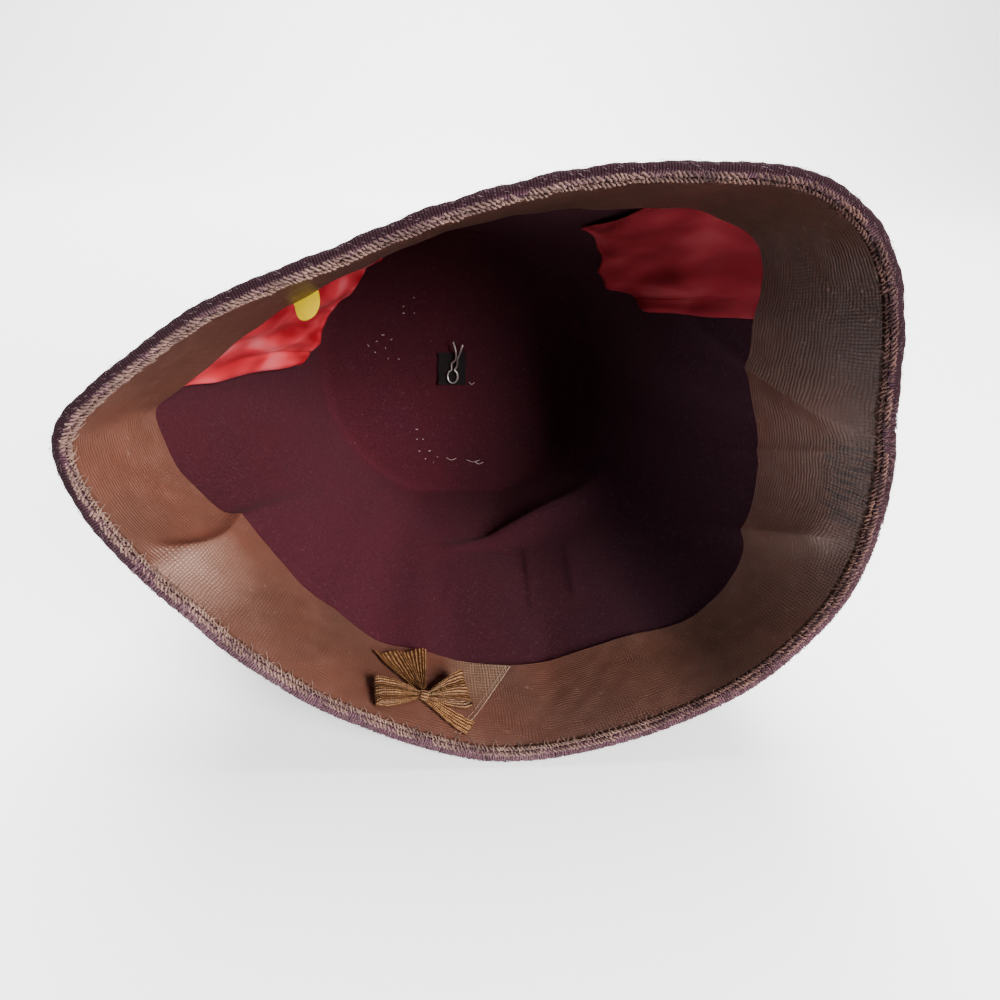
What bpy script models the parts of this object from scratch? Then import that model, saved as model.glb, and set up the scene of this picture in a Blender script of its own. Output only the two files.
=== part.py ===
"""A felt fez lying on its side, its mouth towards -Y, built as separate solids.

The hat's own frame has its origin in the middle of the mouth: x to the right, u up the mouth's plane
and depth from the mouth towards the crown. The mouth is squashed into an oval with a crease at its
left. Places along the rim are shares of the rim's length, from 0 at the lowest point, up the right
side and round to 1. Sizes in the tables and constants are millimetres.
"""

import math

import bmesh
import bpy
import numpy as np
from mathutils import Matrix, Vector

MM = 0.001

# How the hat lies: its mouth leans back, so that the underside is level on the surface.
LEAN = math.radians(15.2)
EASE = 1.0
MOUTH_MIDDLE = (0.4, -69.9, 79.6)

# Felt body.
HEIGHT = 148.0
CROWN_RADIUS = 65.0
CROWN_MIDDLE = (-11.5, 19.8)
CROWN_CORNER = 6.0
FELT = 2.0
PIN_HOLE = 1.1
COLUMNS = 96
WALL_DEPTHS = (0.0, 9.0, 18.0, 27.0, 35.5, 54.0, 74.0, 92.0, 105.0, 117.0, 129.0)
DENT_DEPTH = 42.0

# The mouth's outline by clock angle, from the right, anticlockwise. dent is how far the wall below
# it is pushed in, and lift is how far the sweatband's free edge stands off the wall.
MOUTH = (
    # clock_deg, radius, dent, lift
    (0, 107.2, 3.9, 0.0),
    (6, 107.3, 5.5, 0.0),
    (13, 107.1, 7.4, 0.0),
    (20, 109.4, 6.2, 0.6),
    (25, 111.5, 3.8, 2.0),
    (30, 113.5, 0.6, 2.0),
    (37, 114.2, -4.3, 1.9),
    (46, 110.0, -3.5, 1.9),
    (60, 94.8, -0.5, 1.9),
    (75, 83.2, 0.3, 1.9),
    (90, 75.8, 0.4, 1.9),
    (103, 72.6, 0.1, 1.9),
    (114, 71.9, 0.1, 2.3),
    (124, 73.4, -0.4, 2.7),
    (136, 78.8, 0.0, 3.0),
    (146, 85.9, 0.4, 2.8),
    (155, 93.0, 0.2, 2.3),
    (163, 101.7, -0.7, 2.0),
    (167, 106.4, -2.2, 1.7),
    (171, 109.1, -2.9, 0.0),
    (176, 107.7, -2.7, 0.0),
    (181, 104.3, -2.5, 0.0),
    (187, 99.2, -0.1, 0.0),
    (191, 95.8, 1.6, 0.0),
    (195, 92.8, 4.6, 0.0),
    (201, 88.5, 3.8, 0.0),
    (209, 85.1, 2.5, 0.0),
    (219, 81.4, 0.3, 0.0),
    (229, 79.4, -0.9, 0.0),
    (241, 77.7, -4.0, 0.0),
    (254, 78.3, -1.1, 0.0),
    (270, 81.4, -1.6, 0.0),
    (280, 82.6, -3.8, 0.0),
    (291, 84.2, -2.3, 0.0),
    (308, 89.3, -2.6, 0.0),
    (326, 97.9, -9.0, 0.0),
    (335, 101.9, -6.8, 0.0),
    (343, 105.2, -0.6, 0.0),
    (350, 106.7, 2.6, 0.0),
)

# Sharp folds pressed into the felt: a line on the wall, by share and by depth.
FOLDS = (
    # share_a, depth_a, share_b, depth_b, height, width
    (0.990, 103.0, 0.165, 120.0, 6.0, 8.0),
)

# Edge binding: a thread cord worked round the edge of the felt.
BINDING_HALF_WIDTH = 1.8
BINDING_HALF_DEPTH = 1.3
BINDING_CENTRE = 1.6
BINDING_SIDES = 6

# Sweatband: one leather strip, its ends meeting at a slanting seam.
CLEAR = 0.45
BAND = 1.1
BAND_WIDTH = 35.5
BAND_DEPTHS = (0.8, 9.0, 18.0, 27.0, 35.5)
SEAM_COLUMN = 0
SEAM_SLANT = 4.2
SEAM_SPREAD = 10
SEAM_GAP = 0.5
BAND_FACE = FELT + CLEAR + BAND

# Bow on the sweatband, beside the seam. Directions are anticlockwise from the way to the right
# along the rim, seen from inside the hat.
KNOT_SHARE = 0.961
KNOT_DEPTH = 14.0
KNOT_SIZE = (2.1, 1.7, 1.3)
KNOT_RISE = 1.85
RIBBON = 0.5
LOOPS = (
    # name, direction_deg, scale, tip_rise
    ("bow_loop_left", 190, 1.0, 0.0),
    ("bow_loop_right", 34, 1.05, 3.0),
)
LOOP_SECTIONS = (
    # reach, rise, half_width
    (2.6, 1.0, 1.2),
    (7.0, 0.9, 3.2),
    (12.0, 1.0, 4.3),
    (14.2, 2.1, 4.5),
    (12.2, 3.7, 4.3),
    (7.0, 3.5, 3.2),
    (2.8, 2.4, 1.2),
)
TAILS = (
    # name, direction_deg, length, end_half_width
    ("bow_tail_upper", 113, 18.5, 7.0),
    ("bow_tail_lower", 327, 14.0, 3.6),
)
TAIL_SECTIONS = (
    # share_of_length, share_of_half_width, rise
    (0.16, 0.22, 1.0),
    (0.40, 0.45, 1.0),
    (0.70, 0.75, 1.2),
    (1.00, 1.00, 1.5),
)

# Satin: what is left of a lining, tucked behind the sweatband and hanging into the hat.
SATIN = 0.9
SATIN_TUCK = 31.0
FLAPS = ("satin_flap_right", "satin_flap_left")
FLAP_EDGE = (
    # flap, column, far_depth, sag
    (0, 32, 88.0, 0.5),
    (0, 34, 112.0, 1.5),
    (0, 36, 115.0, 2.5),
    (0, 38, 102.0, 2.5),
    (0, 41, 92.0, 1.0),
    (1, 56, 50.0, 1.0),
    (1, 58, 94.0, 5.0),
    (1, 61, 116.0, 6.5),
    (1, 65, 121.0, 6.0),
    (1, 69, 124.0, 3.0),
    (1, 70, 118.0, 2.0),
)
FLAP_ROWS = 5

# Yellow tab, tucked between the satin and the sweatband.
TAB_SHARE = 0.629
TAB_WIDTH = 8.5
TAB_FROM = 31.5
TAB_TO = 41.5
TAB = 0.7

# Patch of dark cloth inside the crown, and the wire pin through both.
PATCH_SIZE = (13.0, 15.0, 0.9)
PATCH_OFFSET = (-1.5, 1.0)
WIRE_RADIUS = 0.45
SHANK_RADIUS = 0.6
HEAD_RADIUS = 3.0
HEAD_THICKNESS = 0.8
WIRE_DEPTH = HEIGHT - FELT - CLEAR - PATCH_SIZE[2] - CLEAR - WIRE_RADIUS
LEG_DOWN = (
    # right, up, rise: from the crown's middle, and off the patch
    (-0.6, 13.5, 2.6),
    (0.4, 8.0, 1.8),
    (-0.9, 3.6, 1.1),
)
LEG_UP = (
    (1.2, 3.0, 1.3),
    (2.0, 8.0, 2.9),
    (3.0, 12.3, 3.6),
)
EYE_WIDTH = 4.8
EYE_HEIGHT = 6.2
EYE_UP = -2.6
EYE_RISE = 0.9
EYE_FROM = 112
EYE_TO = 428
EYE_STEPS = 10


def periodic(rows, column, clock):
    """A smooth closed curve through one column of the mouth's table, at clock angles in degrees."""
    angles = np.array([row[0] for row in rows], float)
    values = np.array([row[column] for row in rows], float)
    angles = np.concatenate([angles[-2:] - 360, angles, angles[:3] + 360])
    values = np.concatenate([values[-2:], values, values[:3]])
    slopes = np.gradient(values, angles)
    clock = np.mod(clock, 360)
    k = np.searchsorted(angles, clock, side="right") - 1
    step = angles[k + 1] - angles[k]
    t = (clock - angles[k]) / step
    rise = values[k] * (1 + 2 * t) * (1 - t) ** 2 + values[k + 1] * t * t * (3 - 2 * t)
    return rise + step * (slopes[k] * t * (1 - t) ** 2 - slopes[k + 1] * t * t * (1 - t))


def measure_rim():
    """The rim as clock angles against shares of its length, from the lowest point, and its length."""
    clock = np.arange(270.0, 631.0, 1.0)
    radius = periodic(MOUTH, 1, clock)
    points = np.column_stack([radius * np.cos(np.radians(clock)), radius * np.sin(np.radians(clock))])
    length = np.concatenate([[0], np.cumsum(np.hypot(*np.diff(points, axis=0).T))])
    return clock, length / length[-1], length[-1]


RIM_CLOCK, RIM_SHARE, RIM_LENGTH = measure_rim()


def clock_at(share):
    turns = np.floor(share)
    return np.interp(share - turns, RIM_SHARE, RIM_CLOCK)


def rim_point(share):
    """Points of the rim, as x, u, depth."""
    clock = clock_at(share)
    radius = periodic(MOUTH, 1, clock)
    angle = np.radians(clock)
    return np.stack([radius * np.cos(angle), radius * np.sin(angle), 0 * radius], axis=-1)


def crown_point(share):
    """Where the wall would meet the crown, if the corner were sharp."""
    angle = 2 * np.pi * share - np.pi / 2
    x = CROWN_MIDDLE[0] + CROWN_RADIUS * np.cos(angle)
    u = CROWN_MIDDLE[1] + CROWN_RADIUS * np.sin(angle)
    return np.stack([x, u, HEIGHT + 0 * x], axis=-1)


def inward_at(share):
    """The level direction into the hat, square to the rim."""
    ahead = rim_point(share + 0.004) - rim_point(share - 0.004)
    ahead /= np.linalg.norm(ahead, axis=-1, keepdims=True)
    return np.stack([-ahead[..., 1], ahead[..., 0], 0 * ahead[..., 0]], axis=-1)


def fold_push(share, depth):
    """How far the sharp folds push the wall in."""
    push = 0 * share
    for share_a, depth_a, share_b, depth_b, height, width in FOLDS:
        run = np.array([((share_b - share_a) % 1) * RIM_LENGTH * 0.75, depth_b - depth_a])
        away = (share - share_a + 0.5) % 1 - 0.5
        place = np.stack([away * RIM_LENGTH * 0.75, depth - depth_a], axis=-1)
        along = np.clip(place @ run / (run @ run), 0, 1)
        gap = np.linalg.norm(place - along[..., None] * run, axis=-1)
        push = push + height * np.exp(-((gap / width) ** 2)) * np.sin(np.pi * (0.15 + 0.7 * along))
    return push


def wall_surface(share, depth):
    """The outer surface of the wall, as x, u, depth; depth is measured along the wall."""
    rim = rim_point(share)
    run = crown_point(share) - rim
    slant = np.linalg.norm(run, axis=-1)
    part = np.clip(depth / slant, 0, 1)
    before = np.sin(np.pi / 2 * np.clip(depth / DENT_DEPTH, 0, 1))
    after = np.cos(np.pi / 2 * np.clip((depth - DENT_DEPTH) / (slant - DENT_DEPTH), 0, 1))
    dent = periodic(MOUTH, 2, clock_at(share)) * before * after
    dent = dent + fold_push(share, depth) * np.clip((1 - part) * 12, 0, 1)
    return rim + run * part[..., None] + inward_at(share) * dent[..., None]


def slant_at(share):
    return np.linalg.norm(crown_point(share) - rim_point(share), axis=-1)


def settle(height):
    """Flattens what would be under the surface, easing into the flat."""
    return np.where(height > EASE, height, np.clip(height + EASE, 0, 2 * EASE) ** 2 / (4 * EASE))


def to_world(points, floor=0.0):
    """Hat frame to world, in metres, with nothing lower than the floor given in mm."""
    x, u, depth = points[..., 0], points[..., 1], points[..., 2]
    y = MOUTH_MIDDLE[1] + u * math.sin(LEAN) + depth * math.cos(LEAN)
    z = MOUTH_MIDDLE[2] + u * math.cos(LEAN) - depth * math.sin(LEAN)
    return np.stack([MOUTH_MIDDLE[0] + x, y, floor + settle(z - floor)], axis=-1) * MM


def wall(share, depth, inside=0.0):
    """World points this far inside the wall's outer surface, flattened where the hat rests."""
    share, depth, inside = np.broadcast_arrays(
        np.asarray(share, float), np.asarray(depth, float), np.asarray(inside, float)
    )
    here = wall_surface(share, depth) + inward_at(share) * inside[..., None]
    return to_world(here, np.maximum(inside, 0))


def band_lift(share, depth):
    """How far the sweatband stands off the wall."""
    lift = periodic(MOUTH, 3, clock_at(share))
    return np.maximum(lift, 0) * np.clip(np.asarray(depth) / BAND_WIDTH, 0, 1.2) ** 1.3


def grid_faces(rows, columns, closed_rows=False, closed_columns=False):
    """Quads of a grid whose points run along its columns first."""
    faces = []
    for i in range(rows if closed_rows else rows - 1):
        for j in range(columns if closed_columns else columns - 1):
            a, b = i * columns, ((i + 1) % rows) * columns
            k = (j + 1) % columns
            faces.append((a + j, a + k, b + k, b + j))
    return faces


def new_object(name, points, faces, parts):
    """A mesh object from world points, its faces turned to agree."""
    mesh = bpy.data.meshes.new(name)
    mesh.from_pydata([tuple(p) for p in np.asarray(points, float).reshape(-1, 3)], [], faces)
    mesh.update()
    obj = bpy.data.objects.new(name, mesh)
    parts.objects.link(obj)
    return obj


def shade_smooth(obj, angle=40):
    obj.data.shade_smooth()
    obj.data.set_sharp_from_angle(angle=math.radians(angle))


def paint(obj, colour, roughness, metallic=0.0):
    material = bpy.data.materials.new(obj.name)
    material.use_nodes = True
    shader = material.node_tree.nodes["Principled BSDF"]
    shader.inputs["Base Color"].default_value = (*colour, 1)
    shader.inputs["Roughness"].default_value = roughness
    shader.inputs["Metallic"].default_value = metallic
    obj.data.materials.append(material)


def thicken(obj, thickness, offset):
    shell = obj.modifiers.new("Thickness", "SOLIDIFY")
    shell.thickness = thickness * MM
    shell.offset = offset
    shell.use_even_offset = True
    shell.use_quality_normals = True


def face_up(obj, towards):
    """Turns an open sheet's faces round if they point away from this world point."""
    mesh = bmesh.new()
    mesh.from_mesh(obj.data)
    bmesh.ops.recalc_face_normals(mesh, faces=mesh.faces)
    target = Vector(towards)
    facing = sum(f.normal.dot(target - f.calc_center_median()) * f.calc_area() for f in mesh.faces)
    if facing < 0:
        bmesh.ops.reverse_faces(mesh, faces=mesh.faces)
    mesh.to_mesh(obj.data)
    mesh.free()


def face_out(obj):
    """Turns a closed surface's faces outwards."""
    mesh = bmesh.new()
    mesh.from_mesh(obj.data)
    bmesh.ops.recalc_face_normals(mesh, faces=mesh.faces)
    mesh.to_mesh(obj.data)
    mesh.free()


def hat_point(x, u, depth, floor=0.0):
    return to_world(np.array([x, u, depth], float), floor)


def cavity_middle():
    return tuple(hat_point(CROWN_MIDDLE[0] / 2, CROWN_MIDDLE[1] / 2, HEIGHT / 2))


def shell_rows(inside):
    """Rows of the felt from the rim to the pin's hole, this far inside its outer surface."""
    share = np.arange(COLUMNS) / COLUMNS
    straight = slant_at(share) - CROWN_CORNER
    rows = [wall(share, depth, inside) for depth in (*WALL_DEPTHS, straight)]
    corner = crown_point(share) + inward_at(share) * inside
    to_rim = rim_point(share) - crown_point(share)
    to_rim /= np.linalg.norm(to_rim, axis=-1, keepdims=True)
    to_middle = (np.array([*CROWN_MIDDLE, HEIGHT]) - crown_point(share)) / CROWN_RADIUS
    start = wall_surface(share, straight) + inward_at(share) * inside
    end = crown_point(share) + to_middle * CROWN_CORNER
    end[..., 2] -= inside
    bend = corner + to_rim * inside
    for t in (0.33, 0.67, 1.0):
        rows.append(to_world(start * (1 - t) ** 2 + 2 * t * (1 - t) * bend + end * t * t, inside))
    for radius in (30.0, PIN_HOLE):
        place = crown_point(share) + to_middle * (CROWN_RADIUS - radius)
        place[..., 2] -= inside
        rows.append(to_world(place))
    return rows


def make_crown_shell(parts):
    """Felt wall and crown in one piece, with a hole for the pin."""
    rows = shell_rows(0.0) + shell_rows(FELT)[::-1]
    faces = grid_faces(len(rows), COLUMNS, closed_rows=True, closed_columns=True)
    obj = new_object("crown_shell", rows, faces, parts)
    face_out(obj)
    shade_smooth(obj)
    paint(obj, (0.10, 0.012, 0.025), 0.95)


def make_rim_binding(parts):
    """Cord round the edge of the felt, in front of it, flat where the hat rests."""
    share = np.arange(COLUMNS) / COLUMNS
    rows = []
    for side in range(BINDING_SIDES):
        angle = 2 * math.pi * side / BINDING_SIDES
        inside = BINDING_CENTRE + BINDING_HALF_WIDTH * math.cos(angle)
        ahead = CLEAR + BINDING_HALF_DEPTH * (1 + math.sin(angle))
        place = rim_point(share) + inward_at(share) * inside
        place[..., 2] -= ahead
        rows.append(to_world(place, max(inside, 0)))
    faces = grid_faces(BINDING_SIDES, COLUMNS, closed_rows=True, closed_columns=True)
    obj = new_object("rim_binding", rows, faces, parts)
    face_out(obj)
    shade_smooth(obj, 60)
    paint(obj, (0.16, 0.06, 0.09), 0.9)


def make_sweatband(parts):
    """Leather strip inside the mouth, open at its slanting seam."""
    column = np.arange(COLUMNS + 1)
    to_seam = np.minimum(column, COLUMNS - column)
    slide = np.clip(1 - to_seam / SEAM_SPREAD, 0, 1)
    end = np.where(column == 0, 1, 0) - np.where(column == COLUMNS, 1, 0)
    open_by = SEAM_GAP / 2 / RIM_LENGTH * end
    rows = []
    for depth in BAND_DEPTHS:
        slant = SEAM_SLANT * (depth / BAND_WIDTH - 0.5)
        share = (SEAM_COLUMN + column + slant * slide) / COLUMNS + open_by
        rows.append(wall(share, depth, FELT + CLEAR + band_lift(share, depth)))
    obj = new_object("sweatband", rows, grid_faces(len(rows), COLUMNS + 1), parts)
    face_up(obj, cavity_middle())
    thicken(obj, BAND, 1)
    shade_smooth(obj)
    paint(obj, (0.26, 0.12, 0.08), 0.5)


def bow_spot(along, across, rise):
    """A world point over the sweatband: mm from the knot to the right, into the hat and off the leather."""
    share = KNOT_SHARE + along / RIM_LENGTH
    return wall(share, KNOT_DEPTH + across, BAND_FACE + rise)


def ribbon_strip(name, sections, direction, parts):
    """A ribbon whose sections are reach, rise and half width along one direction from the knot."""
    turn = math.radians(direction)
    rows = []
    for reach, rise, half in sections:
        side = np.array([-1.0, -0.33, 0.33, 1.0]) * half
        along = reach * math.cos(turn) - side * math.sin(turn)
        across = reach * math.sin(turn) + side * math.cos(turn)
        rows.append(bow_spot(along, across, rise + 0 * side))
    obj = new_object(name, rows, grid_faces(len(rows), 4), parts)
    thicken(obj, RIBBON, 0)
    shade_smooth(obj)
    paint(obj, (0.45, 0.22, 0.07), 0.45)


def make_bow(parts):
    """Ribbon bow: a knot, two loops and two tails."""
    for name, direction, scale, tip_rise in LOOPS:
        far = max(reach for reach, rise, half in LOOP_SECTIONS)
        sections = [
            (reach * scale, rise + tip_rise * (reach / far) ** 2 * (1.0 if rise > 1 else 0.6), half)
            for reach, rise, half in LOOP_SECTIONS
        ]
        ribbon_strip(name, sections, direction, parts)
    for name, direction, length, end in TAILS:
        sections = [(length * reach, rise, end * half) for reach, half, rise in TAIL_SECTIONS]
        ribbon_strip(name, sections, direction, parts)
    centre = Vector(bow_spot(0.0, 0.0, KNOT_RISE))
    right = (Vector(bow_spot(2.0, 0.0, KNOT_RISE)) - centre).normalized()
    up = (Vector(bow_spot(0.0, 0.0, KNOT_RISE + 2)) - centre).normalized()
    into = up.cross(right)
    bpy.ops.mesh.primitive_uv_sphere_add(segments=12, ring_count=8, radius=MM)
    knot = bpy.context.object
    knot.name = knot.data.name = "bow_knot"
    turned = Matrix((right, into, up)).transposed().to_4x4()
    knot.data.transform(Matrix.Translation(centre) @ turned @ Matrix.Diagonal((*KNOT_SIZE, 1)))
    move_to(knot, parts)
    shade_smooth(knot, 80)
    paint(knot, (0.45, 0.22, 0.07), 0.45)


def move_to(obj, parts):
    for collection in list(obj.users_collection):
        collection.objects.unlink(obj)
    parts.objects.link(obj)


def make_satin_flap(flap, parts):
    """Cloth from behind the sweatband along the wall, sagging away from it past the leather's edge."""
    edge = np.array([row[1:] for row in FLAP_EDGE if row[0] == flap])
    column = np.arange(edge[0, 0], edge[-1, 0] + 1)
    far = np.interp(column, edge[:, 0], edge[:, 1])
    sag = np.interp(column, edge[:, 0], edge[:, 2])
    rows = []
    for part in np.linspace(0, 1, FLAP_ROWS):
        depth = SATIN_TUCK + (far - SATIN_TUCK) * part
        rows.append(wall(column / COLUMNS, depth, FELT + CLEAR + sag * part**1.5))
    obj = new_object(FLAPS[flap], rows, grid_faces(len(rows), len(column)), parts)
    face_up(obj, cavity_middle())
    thicken(obj, SATIN, 1)
    shade_smooth(obj)
    paint(obj, (0.55, 0.02, 0.03), 0.3)


def make_size_tab(parts):
    """Small yellow tab with a rounded end, held behind the sweatband's edge."""
    half = TAB_WIDTH / 2 / RIM_LENGTH
    straight = TAB_TO - TAB_WIDTH / 2
    rows = [(TAB_FROM, 1.0), ((TAB_FROM + straight) / 2, 1.0), (straight, 1.0)]
    for turn in (25, 50, 72):
        angle = math.radians(turn)
        rows.append((straight + TAB_WIDTH / 2 * math.sin(angle), math.cos(angle)))
    points = []
    for depth, width in rows:
        share = TAB_SHARE + half * width * np.array([-1, -0.33, 0.33, 1])
        under = FELT + CLEAR + band_lift(share, np.minimum(depth, BAND_WIDTH)) - CLEAR - TAB
        points.append(wall(share, depth + 0 * share, under))
    obj = new_object("size_tab", points, grid_faces(len(rows), 4), parts)
    face_up(obj, cavity_middle())
    thicken(obj, TAB, 1)
    shade_smooth(obj)
    paint(obj, (0.85, 0.72, 0.03), 0.35)


def cut(obj, cutter):
    """Cuts one solid from another; the cutter stays out of the model."""
    cutter.hide_render = True
    cutter.display_type = "WIRE"
    boolean = obj.modifiers.new("Cut", "BOOLEAN")
    boolean.operation = "DIFFERENCE"
    boolean.object = cutter


def make_crown_patch(parts, cutters):
    """Square of dark cloth on the inside of the crown, round the pin."""
    x, u = CROWN_MIDDLE
    depth = HEIGHT - FELT - CLEAR - PATCH_SIZE[2] / 2
    centre = Vector(hat_point(x + PATCH_OFFSET[0], u + PATCH_OFFSET[1], depth))
    turn = Matrix.Rotation(-LEAN, 4, "X") @ Matrix.Rotation(math.radians(-90), 4, "X")
    bpy.ops.mesh.primitive_cube_add(size=MM)
    patch = bpy.context.object
    patch.name = patch.data.name = "crown_patch"
    patch.data.transform(Matrix.Translation(centre) @ turn @ Matrix.Diagonal((*PATCH_SIZE, 1)))
    move_to(patch, parts)
    paint(patch, (0.02, 0.008, 0.01), 0.9)
    bpy.ops.mesh.primitive_cylinder_add(vertices=16, radius=PIN_HOLE * MM, depth=8 * MM)
    cutter = bpy.context.object
    cutter.name = "cut_patch_hole"
    hole = Vector(hat_point(x, u, depth))
    cutter.data.transform(Matrix.Translation(hole) @ turn)
    move_to(cutter, cutters)
    cut(patch, cutter)


def wire_route():
    """The wire inside the crown: one leg, round the eye, and up the other leg, as x, u, depth."""
    eye = []
    for step in range(EYE_STEPS + 1):
        angle = math.radians(EYE_FROM + (EYE_TO - EYE_FROM) * step / EYE_STEPS)
        eye.append((EYE_WIDTH / 2 * math.cos(angle), EYE_UP + EYE_HEIGHT / 2 * math.sin(angle), EYE_RISE))
    x, u = CROWN_MIDDLE
    return [(x + right, u + up, WIRE_DEPTH - rise) for right, up, rise in (*LEG_DOWN, *eye, *LEG_UP)]


def tube(name, route, radius, parts):
    """A wire through these points, as a mesh with closed ends."""
    curve = bpy.data.curves.new(name, "CURVE")
    curve.dimensions = "3D"
    spline = curve.splines.new("POLY")
    spline.points.add(len(route) - 1)
    for point, place in zip(spline.points, route):
        point.co = (*hat_point(*place), 1)
    curve.bevel_depth = radius * MM
    curve.bevel_resolution = 1
    curve.use_fill_caps = True
    guide = bpy.data.objects.new(name + "_guide", curve)
    parts.objects.link(guide)
    bpy.context.view_layer.update()
    graph = bpy.context.evaluated_depsgraph_get()
    mesh = bpy.data.meshes.new_from_object(guide.evaluated_get(graph))
    made = bmesh.new()
    made.from_mesh(mesh)
    bmesh.ops.remove_doubles(made, verts=made.verts, dist=0.00001)
    bmesh.ops.recalc_face_normals(made, faces=made.faces)
    made.to_mesh(mesh)
    made.free()
    obj = bpy.data.objects.new(name, mesh)
    obj.matrix_world = guide.matrix_world
    parts.objects.link(obj)
    bpy.data.objects.remove(guide)
    return obj


def join(obj, other):
    """Unites two solids and drops the second."""
    boolean = obj.modifiers.new("Join", "BOOLEAN")
    boolean.operation = "UNION"
    boolean.object = other
    other.hide_render = True
    other.display_type = "WIRE"


def make_tassel_pin(parts, cutters):
    """Bent wire with an eye and two legs inside, its shank through the crown and a flat head outside."""
    obj = tube("tassel_pin", wire_route(), WIRE_RADIUS, parts)
    x, u = CROWN_MIDDLE
    inner = WIRE_DEPTH - 1.0
    outer = HEIGHT + CLEAR
    across = [(x - 1.6, u + 0.2, inner + 0.4), (x + 1.6, u + 0.2, inner + 0.4)]
    shank = tube("pin_shank", [(x, u, inner), (x, u, outer + HEAD_THICKNESS / 2)], SHANK_RADIUS, cutters)
    cross = tube("pin_cross", across, WIRE_RADIUS, cutters)
    head = tube("pin_head", [(x, u, outer), (x, u, outer + HEAD_THICKNESS)], HEAD_RADIUS, cutters)
    for other in (shank, cross, head):
        join(obj, other)
    paint(obj, (0.62, 0.60, 0.58), 0.35, 1.0)


def clear_scene():
    for obj in list(bpy.data.objects):
        bpy.data.objects.remove(obj)


def new_collection(name):
    collection = bpy.data.collections.new(name)
    bpy.context.scene.collection.children.link(collection)
    return collection


def main():
    clear_scene()
    parts = new_collection("fez")
    cutters = new_collection("cutters")
    make_crown_shell(parts)
    make_rim_binding(parts)
    make_sweatband(parts)
    make_bow(parts)
    for flap in range(len(FLAPS)):
        make_satin_flap(flap, parts)
    make_size_tab(parts)
    make_crown_patch(parts, cutters)
    make_tassel_pin(parts, cutters)


main()
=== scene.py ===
import math

import bmesh
import bpy
import numpy as np
from mathutils import Euler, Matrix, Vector


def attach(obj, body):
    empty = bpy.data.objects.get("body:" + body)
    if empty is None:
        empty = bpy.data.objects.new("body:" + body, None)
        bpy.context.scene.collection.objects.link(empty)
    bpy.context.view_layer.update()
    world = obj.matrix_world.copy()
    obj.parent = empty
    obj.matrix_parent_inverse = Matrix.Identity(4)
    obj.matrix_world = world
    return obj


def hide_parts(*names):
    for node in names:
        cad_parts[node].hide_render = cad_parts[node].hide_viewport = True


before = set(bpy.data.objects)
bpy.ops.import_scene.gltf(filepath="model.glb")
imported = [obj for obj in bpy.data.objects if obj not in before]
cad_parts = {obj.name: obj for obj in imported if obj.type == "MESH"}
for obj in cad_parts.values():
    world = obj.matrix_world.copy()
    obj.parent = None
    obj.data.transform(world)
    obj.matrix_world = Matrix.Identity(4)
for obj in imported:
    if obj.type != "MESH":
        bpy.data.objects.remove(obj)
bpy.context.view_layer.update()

MM = 0.001
rng = np.random.default_rng(58)

# The hat's shape, as in the CAD source: millimetres in the hat's own frame (x right, u up the mouth,
# depth from the mouth to the crown), and shares of the rim's length from its lowest point.
LEAN = math.radians(15.2)
EASE = 1.0  # how high above the floor the underside starts to flatten
MOUTH_MIDDLE = (0.4, -69.9, 79.6)
HEIGHT = 148.0
CROWN_RADIUS = 65.0
CROWN_MIDDLE = (-11.5, 19.8)
CROWN_CORNER = 6.0
FELT = 2.0
PIN_HOLE = 1.1
DENT_DEPTH = 42.0  # where the mouth's dents are deepest
CLEAR = 0.45  # between the felt and the leather
BAND = 1.1
BAND_WIDTH = 35.5
BAND_FACE = FELT + CLEAR + BAND
RIM_TURNS = 140
CAD_COLUMNS = 96

MOUTH = (
    # clock in degrees, radius, how far the wall is dented, how far the leather stands off the felt
    (0, 107.2, 3.9, 0.0), (6, 107.3, 5.5, 0.0), (13, 107.1, 7.4, 0.0), (20, 109.4, 6.2, 0.6),
    (25, 111.5, 3.8, 2.0), (30, 113.5, 0.6, 2.0), (37, 114.2, -4.3, 1.9), (46, 110.0, -3.5, 1.9),
    (60, 94.8, -0.5, 1.9), (75, 83.2, 0.3, 1.9), (90, 75.8, 0.4, 1.9), (103, 72.6, 0.1, 1.9),
    (114, 71.9, 0.1, 2.3), (124, 73.4, -0.4, 2.7), (136, 78.8, 0.0, 3.0), (146, 85.9, 0.4, 2.8),
    (155, 93.0, 0.2, 2.3), (163, 101.7, -0.7, 2.0), (167, 106.4, -2.2, 1.7), (171, 109.1, -2.9, 0.0),
    (176, 107.7, -2.7, 0.0), (181, 104.3, -2.7, 0.0), (187, 99.2, -1.2, 0.0), (191, 95.8, 0.1, 0.0),
    (195, 92.8, 1.5, 0.0), (201, 88.5, 1.7, 0.0), (209, 85.1, 1.5, 0.0), (219, 81.4, -0.1, 0.0),
    (229, 79.4, -1.0, 0.0), (241, 77.7, -4.0, 0.0), (254, 78.3, -1.1, 0.0), (270, 81.4, -1.6, 0.0),
    (280, 82.6, -3.8, 0.0), (291, 84.2, -2.3, 0.0), (308, 89.3, -2.6, 0.0), (326, 97.9, -9.0, 0.0),
    (335, 101.9, -7.2, 0.0), (343, 105.2, -1.9, 0.0), (350, 106.7, 1.6, 0.0),
)

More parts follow.
